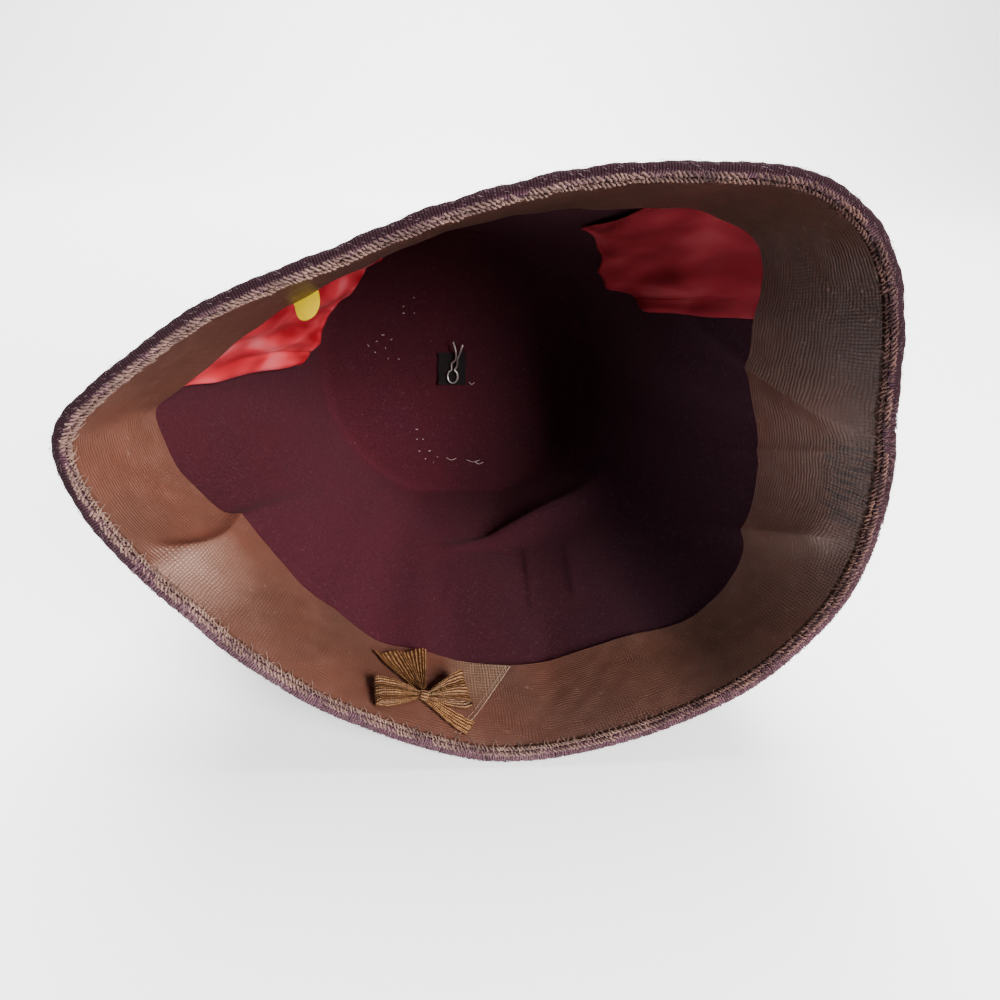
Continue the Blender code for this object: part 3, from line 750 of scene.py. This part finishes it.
BRAIDS = (
    # name, inside, ahead, turn radius, thread radius, turns, seed
    ("braid_front", 2.75, 2.35, 0.42, 0.30, 232, 51),
    ("braid_inner", 3.65, 1.05, 0.40, 0.27, 263, 52),
)


def make_braids(material):
    """Two rows of looped thread along the edge, each of two strands twisted unevenly together."""
    for name, inside, ahead, turn, thick, turns, seed in BRAIDS:
        strands = Strands()
        for phase in (0.0, np.pi):
            t = np.arange(turns * 9 + 1) / (turns * 9)
            x = t * RIM_LENGTH
            angle = 2 * np.pi * turns * t + phase + 0.9 * waves(x, 0 * t, 7.0, seed)
            reach = turn * (1 + 0.40 * waves(x, 0 * t, 4.2, seed + 5 + int(phase)))
            sway = 0.22 * waves(x, 0 * t, 11.0, seed + 9)
            spot = edge_spot(t, inside + sway + reach * np.cos(angle), ahead + sway + reach * np.sin(angle))
            swell = 1 + 0.15 * np.cos(angle * 2) + 0.18 * waves(x, 0 * t, 3.1, seed + 13)
            strands.add(spot, thick * np.clip(swell, 0.55, 1.5))
        strands.finish(name, material, "rim_binding")


def make_stitches(material):
    """Overcast stitches: thin slanted legs from the inner braid onto the leather."""
    strands = Strands()
    pitch = 1 / RIM_TURNS
    for k in range(RIM_TURNS):
        s = (k + rng.uniform(-0.16, 0.16)) * pitch
        reach = rng.uniform(1.7, 3.3)
        for slant, size in ((0.42, 1.0), (-0.25, rng.uniform(0.3, 0.7))):
            long = reach * size
            foot = s + (0.1 + rng.uniform(-0.08, 0.08)) * pitch
            top = foot + slant * rng.uniform(0.5, 1.4) * pitch
            lean = top - foot
            strands.add([
                leather_point(foot, long, -0.10),
                leather_point(foot + lean * 0.2, long * 0.7, 0.16),
                leather_point(foot + lean * 0.5, long * 0.3 + 0.2, 0.26),
                edge_spot(foot + lean * 0.8, 3.95, 0.5),
                edge_spot(top, 3.7, 1.4),
                edge_spot(top + 0.1 * pitch, 3.2, 2.2),
            ], (0.05, 0.10, 0.12, 0.15, 0.17, 0.14))
    strands.finish("stitches", material, "rim_binding")


def make_wraps(material):
    """Fine threads laid unevenly over the edge."""
    strands = Strands()
    t = np.linspace(0, 1, 6)
    for _ in range(WRAPS):
        at, slant = rng.uniform(-0.20, 0.30), rng.uniform(-1.6, 2.2) / RIM_LENGTH
        start, stop = rng.uniform(20, 60), rng.uniform(130, 200)
        thick = rng.uniform(0.09, 0.17)
        share = at + slant * t + 0.3 / RIM_LENGTH * rng.uniform(-1, 1, len(t))
        route = edge_point(share, start + (stop - start) * t, 0.08)
        strands.add(route, thick * np.array((0.6, 1.0, 1.0, 1.0, 0.9, 0.5)))
    strands.finish("edge_wraps", material, "rim_binding")


def make_edge_fluff(material):
    """Short broken fibres along the edge."""
    strands = Strands()
    t = np.array((0, 0.5, 1.0))
    for _ in range(FIBRES):
        s, angle = rng.random(), rng.uniform(-20, 190)
        turn = rng.uniform(-1, 1)
        reach = rng.uniform(0.2, 0.5)
        route = edge_point(s + t * turn * 1.1 / RIM_LENGTH, angle + 14 * t * turn, 0.1 + t * reach)
        strands.add(route, (0.05, 0.045, 0.02), 3)
    strands.finish("edge_fluff", material, "rim_binding")


SEAM_SLANT = 4.2 / CAD_COLUMNS
SEAM_SPREAD = 0.104
BAND_START = 0.8


def seam_share(depth):
    return SEAM_SLANT * (depth / BAND_WIDTH - 0.5)


def band_relief(share, depth):
    """Fine unevenness of the leather, in mm."""
    x, y = share * RIM_LENGTH, depth
    soft = 0.07 * waves(x, y * 0.6, 26.0, 21) + 0.05 * waves(x, y, 9.0, 22)
    edge = 0.18 * waves(x, 0 * y, 19.0, 23) * smooth((y - 22) / 14)
    return (soft + edge) * smooth(y / 8)


def make_sweatband(material):
    columns, rows = 1200, 40
    across = np.linspace(0, 1, columns + 1)
    depth = BAND_START + (BAND_WIDTH - BAND_START) * np.linspace(0, 1, rows)
    slide = np.clip(1 - np.minimum(across, 1 - across) / SEAM_SPREAD, 0, 1)
    grid_share, grid_depth = np.meshgrid(across, depth)
    low = (across + 0.5) % 1 - 0.5
    grid_depth = grid_depth * (1 - 0.055 * hump(low, 0.035))
    share = grid_share + seam_share(grid_depth) * slide
    share = share + 0.06 / RIM_LENGTH * ((grid_share == 0) * 1.0 - (grid_share == 1))
    relief = band_relief(share, grid_depth)
    back = wall(share, grid_depth, FELT + CLEAR + band_lift(share, grid_depth) + 0.5 * relief)
    front = leather_point(share, grid_depth, relief)
    obj = slab("leather_band", front, back, share * RIM_LENGTH, grid_depth, material)
    finish_piece(obj, "sweatband", "sweatband")


def make_seam(material):
    """Two fine rows of stitches beside the sweatband's seam."""
    strands = Strands()
    for offset, thick in ((-1.5, 0.05), (0.2, 0.11)):
        depth = np.linspace(3.0, BAND_WIDTH * 0.945 - 0.4, 140)
        share = seam_share(depth) + offset / RIM_LENGTH
        rise = band_relief(share, depth) + 0.03 + 0.09 * np.cos(depth * 2 * np.pi / 1.6)
        strands.add(leather_point(share, depth, rise), thick)
    strands.finish("seam_threads", material, "sweatband")


KNOT_SHARE, KNOT_DEPTH = 0.961, 12.4
RIBBON_HALF = 0.15  # half its thickness, and the least rise off the leather


def bow_spot(along, across, rise):
    share = KNOT_SHARE + along / RIM_LENGTH
    return wall(share, KNOT_DEPTH + across, BAND_FACE + np.maximum(rise, RIBBON_HALF))


def ribbon_piece(name, stations, node_name, material, wave=0.25, rib_count=11):
    """A ribbon through stations: its centre along, across and rise in mm from the knot, half its width, and
    the way its width points and tilts in degrees."""
    fine = np.linspace(0, 1, 44)
    t = np.linspace(0, 1, len(stations))
    table = np.array([np.interp(fine, t, column) for column in zip(*stations)])
    for _ in range(3):
        table[:, 1:-1] = (table[:, :-2] + 2 * table[:, 1:-1] + table[:, 2:]) / 4
    along, across, rise, half, turn, tilt = table[..., None]
    turn, tilt = np.radians(turn), np.radians(tilt)
    width = np.linspace(-1, 1, 45)
    lateral = half * width
    ribs = 0.10 * np.cos(np.pi * rib_count * width) * np.clip(half / 3, 0.3, 1)
    ripple = wave * np.sin(2.2 * np.pi * width + 3 * fine[:, None]) * np.clip(half / 4, 0, 1)
    a = along + lateral * np.cos(turn) * np.cos(tilt)
    c = across + lateral * np.sin(turn) * np.cos(tilt)
    c = c + 0.12 * waves(a * 2, c * 2, 5.0, 61) * smooth(half / 3)
    r = rise + lateral * np.sin(tilt) + ripple + ribs
    run = np.concatenate([[0], np.cumsum(np.hypot(*np.diff(table[:2])))])
    u, v = run[:, None] + 0 * lateral, width * rib_count / 2 + 0 * lateral
    obj = slab(name, bow_spot(a, c, r + RIBBON_HALF), bow_spot(a, c, r - RIBBON_HALF), u, v, material, 50)
    finish_piece(obj, "ribbon", node_name)


def make_bow(material, pale):
    ribbon_piece("bow_left", (
        (-1.2, -0.2, 1.6, 1.0, 90, 0), (-5.6, -1.5, 1.6, 2.5, 96, 8), (-11.2, -3.3, 1.3, 3.9, 100, 10),
        (-15.6, -4.8, 1.7, 4.6, 102, 10), (-17.4, -5.3, 2.9, 4.8, 102, 10), (-15.4, -4.8, 4.2, 4.6, 102, 8),
        (-10.8, -3.3, 4.3, 3.8, 98, 6), (-5.4, -1.5, 3.5, 2.4, 94, 4), (-1.2, -0.2, 2.6, 1.0, 90, 0),
    ), "bow_loop_left", material)
    ribbon_piece("bow_right", (
        (1.2, 0.2, 1.6, 1.0, 100, 0), (5.2, 1.8, 1.8, 2.8, 108, 10), (9.6, 3.4, 2.0, 4.5, 112, 14),
        (13.6, 4.8, 2.6, 5.6, 113, 16), (15.6, 5.5, 3.8, 5.9, 114, 18), (14.4, 5.2, 5.2, 5.6, 114, 16),
        (10.0, 3.6, 5.0, 4.4, 112, 12), (5.2, 1.8, 3.8, 2.8, 108, 8), (1.2, 0.2, 2.6, 1.0, 100, 0),
    ), "bow_loop_right", material)
    ribbon_piece("bow_upper", (
        (-0.2, 0.8, 1.2, 1.2, 12, 0), (-2.2, 5.2, 1.4, 3.0, 13, 4), (-4.6, 9.8, 1.5, 5.4, 14, 6),
        (-7.0, 14.4, 1.7, 8.0, 14, 6), (-8.8, 18.0, 2.0, 9.8, 13, 6),
    ), "bow_tail_upper", material, 0.5, 15)
    ribbon_piece("bow_lower", (
        (0.6, -0.4, 1.2, 1.1, 60, 0), (4.6, -2.2, 1.2, 1.9, 56, 0), (8.8, -4.3, 1.0, 2.5, 54, 4),
        (12.8, -6.2, 0.9, 2.8, 54, 6), (16.0, -7.6, 1.1, 2.9, 54, 8),
    ), "bow_tail_lower", pale, 0.3, 7)
    turns = 24
    around = np.linspace(0, 2 * np.pi, turns, endpoint=False)
    rows = []
    for t in np.linspace(-1, 1, 13):
        size = math.sqrt(max(1 - abs(t) ** 2.6, 0.02)) * (1 + 0.05 * np.cos(6 * around))
        across, rise = 1.75 * size * np.cos(around), 2.1 + 1.45 * size * np.sin(around)
        rows.append(bow_spot(2.0 * t + 0 * around, across, rise))
    faces, row, column = grid(len(rows), turns, closed_columns=True)
    cap = np.arange(turns)
    faces = faces.tolist() + [cap[::-1].tolist(), (cap + (len(rows) - 1) * turns).tolist()]
    uvs = np.concatenate([pairs(row * 0.35, column * 0.4), np.zeros((2 * turns, 2))])
    finish_piece(mesh_object("bow_centre", rows, faces, uvs, material, 70), "ribbon", "bow_knot")


SATIN_START, SATIN_THICK = 31.0, 0.5
FLAPS = (
    # name, node, seed, flat width and length in metres, rows of (column of the source, far depth, sag)
    ("satin_left", "satin_flap_left", 31, (0.080, 0.085), (
        (56, 50.0, 1.0), (58, 94.0, 4.5), (61, 116.0, 6.0),
        (65, 121.0, 6.0), (69, 124.0, 3.2), (70, 119.0, 2.0),
    )),
    ("satin_right", "satin_flap_right", 32, (0.055, 0.072), (
        (32, 90.0, 0.8), (34, 112.0, 2.0), (36, 115.0, 3.0), (38, 102.0, 3.0), (41, 92.0, 1.2),
    )),
)


def make_satin(name, node_name, seed, flat, edge, material, thread):
    """Cloth from behind the sweatband, sagging off the wall in soft folds, its side edge turned over."""
    edge = np.array(edge, float)
    columns, rows = 150, 130
    column = np.linspace(edge[0, 0], edge[-1, 0], columns)
    far = np.interp(column, edge[:, 0], edge[:, 1]) + 0.7 * waves(column * 6.2, 0 * column, 14.0, seed)
    sag = np.interp(column, edge[:, 0], edge[:, 2])
    across = (column - column[0]) / (column[-1] - column[0])
    part = np.linspace(0, 1, rows)[:, None]
    depth = SATIN_START + (far[None] - SATIN_START) * part
    share = column[None] / CAD_COLUMNS + 0 * part
    x, y = share * RIM_LENGTH, depth
    free = smooth((y - 44.0) / 18)
    folds = 1.1 * waves(x + 0.55 * y, 0.4 * y, 38.0, seed + 1) + 0.22 * waves(x, y * 0.4, 17.0, seed + 2)
    turned = 0.97 if seed % 2 else 0.03
    away = np.abs(across[None] - turned)
    hem = 1.3 * hump(away, 0.045) - 0.9 * hump(away - 0.095, 0.014)
    hem = hem + 1.8 * hump(away - 0.22, 0.075) * smooth((part - 0.25) / 0.3)
    hem = hem - 1.2 * hump(away - 0.48, 0.10) * hump(part - 0.38, 0.16)
    hem = hem + 0.35 * hump(part - 0.975, 0.015)
    under = FELT + CLEAR + 0.1
    inside = under + np.maximum(sag[None] * part**1.5 + (folds + hem) * free, 0.0)
    inside = np.where(depth < BAND_WIDTH + 1, np.minimum(inside, under + 0.3), inside)
    front, back = wall(share, depth, inside + SATIN_THICK), wall(share, depth, inside)
    obj = slab(name, front, back, x, y, material, 0)
    finish_piece(obj, "satin", node_name)
    strands = Strands()
    for _ in range(30):
        at = rng.uniform(0.5, 0.99)
        k = int((at if seed % 2 else 1 - at) * (columns - 1))
        start = wall(share[0, k], far[k] - 0.6, inside[-1, k] + 0.25)
        reach, lean = rng.uniform(0.8, 3.0), rng.uniform(-0.8, 0.8)
        route = [start]
        for t in (0.5, 1.0):
            place = share[0, k] + lean * t * reach / RIM_LENGTH
            route.append(wall(place, far[k] - 0.6 + reach * t, max(inside[-1, k] - 0.8 * t, FELT + 0.1)))
        strands.add(route, (0.07, 0.06, 0.04), 3)
    strands.finish(name + "_frays", thread, "satin")


TAB_LINE = (
    # share, depth, inside, share of full width: from under the sweatband, round its edge and out
    (0.6296, 31.5, 4.30, 1.0), (0.6297, 34.6, 4.35, 1.0), (0.6299, 36.0, 4.75, 1.0), (0.6303, 36.7, 5.8, 1.0),
    (0.6310, 37.0, 7.2, 1.0), (0.6318, 37.2, 8.5, 1.0), (0.6326, 37.4, 9.7, 0.95), (0.6332, 37.5, 10.6, 0.84),
    (0.6337, 37.6, 11.4, 0.66), (0.6340, 37.6, 11.9, 0.46), (0.6342, 37.6, 12.2, 0.22),
)
TAB_HALF_WIDTH, TAB_HALF_THICK = 4.6, 0.17


def make_tab(material):
    """Tab held behind the sweatband, bent round its edge and hanging in front of the satin."""
    line = round_route(TAB_LINE, 4)
    padded = np.vstack([line[:1], line, line[-1:]])
    ahead = (padded[2:] - padded[:-2])[:, 1:3]
    down, out = (ahead / np.linalg.norm(ahead, axis=1, keepdims=True)).T[..., None]
    share, depth, inside, size = line.T[..., None]
    width = np.linspace(-1, 1, 15)
    bow = 0.5 * (1 - width**2) * smooth((inside - 5) / 4)
    places = share + TAB_HALF_WIDTH * size * width / RIM_LENGTH
    front, back = (
        wall(places, depth - out * (off + bow), inside + down * (off + bow))
        for off in (TAB_HALF_THICK, -TAB_HALF_THICK)
    )
    v = np.arange(1, len(line) + 1)[:, None] + 0 * width
    finish_piece(slab("yellow_tab", front, back, places * RIM_LENGTH, v, material), "size_tab", "size_tab")


def crown_spot(x, u, rise):
    """A place over the inside of the crown, in mm from its middle and off the felt."""
    return to_world(stack(CROWN_MIDDLE[0] + x, CROWN_MIDDLE[1] + u, HEIGHT - FELT - rise))


def crown_route(points):
    return crown_spot(*np.array(points, float).T)


def make_patch(material):
    """Dark cloth under the pin, its corners lifted a little."""
    x, u = np.meshgrid(np.linspace(-6.5, 6.5, 27), np.linspace(-7.5, 7.5, 31))
    curl = 0.9 * np.abs(x / 6.5 * u / 7.5) ** 3 + 0.12 * waves(x, u, 7.0, 41)
    rag = 1 + 0.03 * waves(x + u, u, 5.0, 42)
    front = crown_spot(x * rag - 1.5, u * rag + 1.0, 1.25 + curl)
    back = crown_spot(x * rag - 1.5, u * rag + 1.0, 0.5 + curl)
    finish_piece(slab("pin_patch", front, back, x, u, material), "crown_patch", "crown_patch")


def round_route(points, steps=8):
    """A rounder line through points, by Catmull-Rom."""
    points = np.array(points, float)
    padded = np.vstack([2 * points[0] - points[1], points, 2 * points[-1] - points[-2]])
    out = []
    for k in range(1, len(padded) - 2):
        a, b, c, d = padded[k - 1:k + 3]
        for t in np.linspace(0, 1, steps, endpoint=False):
            square, cube = 2 * a - 5 * b + 4 * c - d, 3 * b - a - 3 * c + d
            out.append(0.5 * (2 * b + (c - a) * t + square * t**2 + cube * t**3))
    out.append(points[-1])
    return np.array(out)


def make_pin(material):
    """Bent wire pin inside the crown, with its shank through the felt and a plain flat head outside."""
    strands = Strands()
    around = np.radians(np.linspace(100, 430, 12))
    eye = [(2.4 * math.cos(a) - 1.2, 3.1 * math.sin(a) - 2.6, 2.6) for a in around]
    legs = [(-0.8, 13.6, 5.4), (0.4, 9.0, 4.4), (0.2, 5.5, 3.2), (-1.6, 3.4, 2.6), (-1.7, 1.6, 2.4)]
    other = [(0.9, 2.6, 2.8), (1.4, 6.0, 4.0), (2.6, 9.2, 5.0), (3.6, 12.4, 5.8)]
    for line in (legs + eye[:1], eye, eye[-1:] + other):
        strands.add(crown_route(round_route(line)), 0.42, 8)
    strands.add(crown_route([(0, 0, 2.6), (0, 0, 1.0), (0, 0, -2.0), (0, 0, -2.8)]), 0.55, 8)
    head = [(0, 0, -2.45), (0, 0, -2.7), (0, 0, -3.1), (0, 0, -3.25)]
    strands.add(crown_route(head), (2.6, 3.0, 3.0, 2.5), 28)
    strands.finish("wire_pin", material, "tassel_pin", "tassel_pin")


SPECKS = (
    # x, u in mm from the crown's middle
    (-41, 11), (-37, 13), (-38, 8), (-33, 10), (-32, 5), (-30, 14), (-27, 5), (-34, 16),
    (-24, 29), (-24, 26), (-19, 26), (-19, 33), (-19, -29), (-19, -34), (-16, -34),
    (-18, -40), (-13, -40), (-15, -44), (-9, -43), (-11, -46),
)


def make_specks(material):
    """Bits of pale thread left in the crown where stitches were."""
    strands = Strands()
    for x, u in SPECKS:
        turn, reach = rng.uniform(0, np.pi), rng.uniform(0.35, 0.8)
        step = np.array([math.cos(turn), math.sin(turn)]) * reach
        route = [(x - step[0], u - step[1], 0.1), (x, u, 0.45), (x + step[0], u + step[1], 0.1)]
        strands.add(crown_route(route), (0.16, 0.24, 0.16))
    for x, u, reach in ((-2, -44, 2.6), (9, -45, 3.2), (12, -46, 2.2), (8, -6, 1.4)):
        route = round_route([(x - reach, u + 0.6, 0.3), (x, u - 0.5, 0.6), (x + reach, u + 0.4, 0.3)], 5)
        strands.add(crown_route(route), 0.14)
    strands.finish("thread_ends", material, "rim_binding")


def build_object():
    felt = felt_material()
    make_felt(felt)
    make_fuzz(plain_material("fuzz", (0.125, 0.042, 0.056), 0.9, size=500.0))
    make_wound_edge(wound_material())
    make_braids(thread_material("braid_thread", (0.37, 0.222, 0.175), (0.150, 0.087, 0.078)))
    make_stitches(thread_material("stitch_thread", (0.50, 0.325, 0.255), (0.21, 0.125, 0.108)))
    make_wraps(thread_material("wrap_thread", (0.210, 0.115, 0.135), (0.080, 0.033, 0.045)))
    make_edge_fluff(plain_material("fluff", (0.19, 0.12, 0.135), 0.9, size=200.0))
    make_sweatband(leather_material())
    make_seam(plain_material("seam_thread", (0.55, 0.38, 0.28), 0.7, size=600.0))
    # The lower tail takes a copy of the ribbon made lighter, as painted light.
    make_bow(ribbon_material("ribbon", 1.0), ribbon_material("ribbon_tail", 1.9))
    fray = plain_material("fray", (0.62, 0.06, 0.06), 0.6, size=400.0)
    # The left flap takes the lit copy of the satin, and the right flap a darker copy in painted shade.
    lit = satin_material("satin", (0.46, 0.010, 0.020), (0.95, 0.055, 0.080), (1.0, 0.26, 0.30))
    shaded_satin = satin_material("satin_in_shade", (0.21, 0.018, 0.026), (0.33, 0.032, 0.044), (0.42, 0.070, 0.085))
    for flap, satin in zip(FLAPS, (lit, shaded_satin)):
        make_satin(*flap, satin, fray)
    make_tab(plain_material("yellow", (0.60, 0.42, 0.0), 0.55, change=0.1, size=120.0, shine=0.05))
    make_patch(plain_material("patch_cloth", (0.007, 0.0025, 0.004), 0.95, change=0.3, size=900.0, lumps=0.5))
    make_pin(plain_material("wire", (0.62, 0.58, 0.56), 0.35, metallic=1.0, size=500.0))
    make_specks(plain_material("thread_end", (0.62, 0.48, 0.46), 0.8, size=500.0))


def paper_material():
    """White paper that turns grey well in front of the camera, so that little light comes up from there."""
    material, shader = new_material("paper")
    near = part_of(spots(shader), "Y", -0.27, -0.165)
    surface(shader, mix(near, (0.10, 0.10, 0.11), (0.90, 0.90, 0.90)), {
        "Emission Color": mix(near, (0.0, 0.0, 0.0), (0.82, 0.82, 0.82)), "Emission Strength": 1.0,
        "Roughness": 0.9, "Specular IOR Level": 0.1,
    })
    return material


LIGHTS = (
    # name, place, aim, size, power, colour
    ("key", (0.60, -0.70, 0.55), (-0.03, -0.02, 0.05), 0.42, 25.0, (1.0, 0.965, 0.93)),
    ("sky", (0.0, 1.1, 1.9), (0.0, 0.2, 0.0), 1.6, 140.0, (1.0, 1.0, 1.0)),
    ("side", (-0.7, -0.55, 0.55), (0.08, -0.04, 0.06), 0.5, 3.0, (0.62, 0.86, 0.95)),
    ("wall", (0.0, 0.9, 2.2), (0.0, 2.0, 0.6), 2.0, 60.0, (1.0, 1.0, 1.0)),
)


def make_stage():
    """A pale floor that curves up behind, a key light from the right, and soft light from above."""
    bend_start, bend = 1.2, 0.8
    profile = [(y, 0.0) for y in np.linspace(-3.0, bend_start, 12)]
    for a in np.radians(np.linspace(5, 90, 18)):
        profile.append((bend_start + bend * math.sin(a), bend - bend * math.cos(a)))
    profile += [(bend_start + bend, z) for z in (1.5, 2.5, 4.0)]
    across = np.linspace(-4, 4, 9)
    points = [(x, y, z) for y, z in profile for x in across]
    faces, row, column = grid(len(profile), len(across))
    uvs = pairs(column, row)
    mesh_object("floor", points, faces[:, ::-1], uvs, paper_material(), 0, closed=False)
    world = bpy.data.worlds.new("world")
    world.use_nodes = True
    background = world.node_tree.nodes["Background"].inputs
    background["Color"].default_value, background["Strength"].default_value = (0.9, 0.95, 1.0, 1), 0.10
    bpy.context.scene.world = world
    for name, place, aim, size, power, colour in LIGHTS:
        data = bpy.data.lights.new(name, "AREA")
        data.energy, data.size, data.color = power, size, colour
        light = add_object(name, data)
        light.location = place
        light.rotation_euler = (Vector(aim) - Vector(place)).to_track_quat("-Z", "Y").to_euler()


def make_camera():
    data = bpy.data.cameras.new("camera")
    data.lens, data.sensor_width, data.clip_start = 21.6, 36.0, 0.005
    camera = add_object("camera", data)
    camera.location = (-0.009695, -0.202003, 0.167469)
    camera.rotation_euler = Euler([math.radians(a) for a in (56.864, -2.189, -3.3487)])
    bpy.context.scene.camera = camera


build_object()
make_stage()
make_camera()
